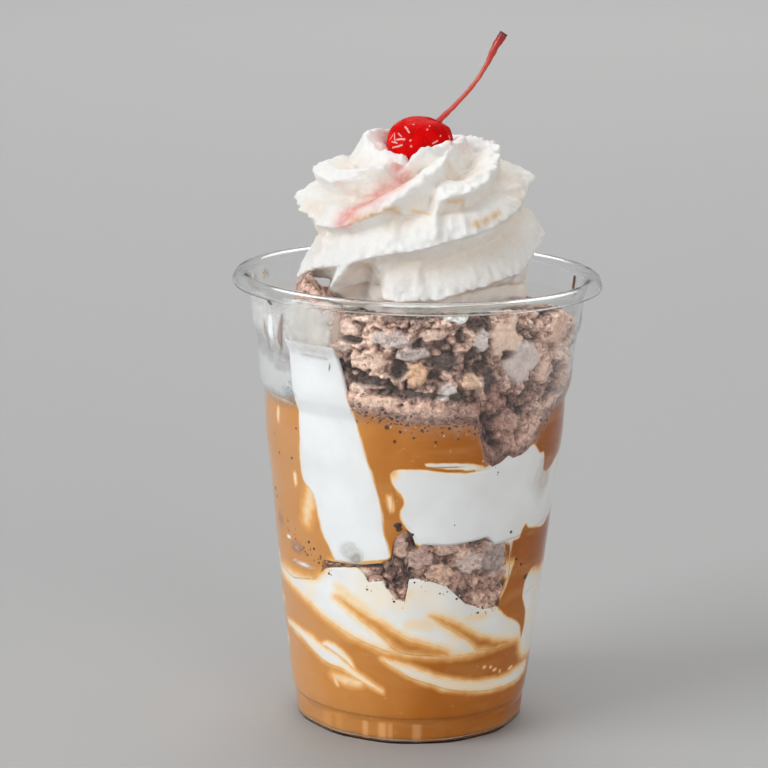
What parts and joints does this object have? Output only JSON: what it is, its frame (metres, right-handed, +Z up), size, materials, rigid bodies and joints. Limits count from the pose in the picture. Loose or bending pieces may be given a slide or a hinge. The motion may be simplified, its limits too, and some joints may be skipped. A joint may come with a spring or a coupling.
{
  "type": "parfait",
  "caption": "Layered caramel, cream and crumble parfait in a clear plastic cup, with a piped whipped-cream swirl and a stemmed cherry on top.",
  "frame": {"origin": "centre of the cup's foot, on the surface it stands on", "axes": "+Z up along the cup's axis, -Y towards the front that shows the cream streak, +X to the viewer's right"},
  "size_m": [0.0978, 0.0978, 0.1852],
  "materials": {
    "clear_plastic": "clear, glossy",
    "caramel_sauce": "thick caramel sauce, glossy",
    "cream": "soft cream, satin",
    "crumble": "baked crumble, dull",
    "whipped_cream": "whipped cream, satin",
    "cherry": "syrup-coated, glossy",
    "cherry_stem": "satin"
  },
  "bodies": {
    "root": {"cup": "clear_plastic", "sauce_base": "caramel_sauce", "cream_ribbon_front": "cream", "cream_ribbon_left": "cream", "cream_lower": "cream", "sauce_swirl_left": "caramel_sauce", "sauce_swirl_right": "caramel_sauce", "sauce_right": "caramel_sauce", "crumble_lower": "crumble", "cream_middle": "cream", "sauce_upper": "caramel_sauce", "cream_streak": "cream", "crumble_upper": "crumble", "whipped_cream": "whipped_cream", "cherry": "cherry", "cherry_stem": "cherry_stem"}
  },
  "joints": []
}
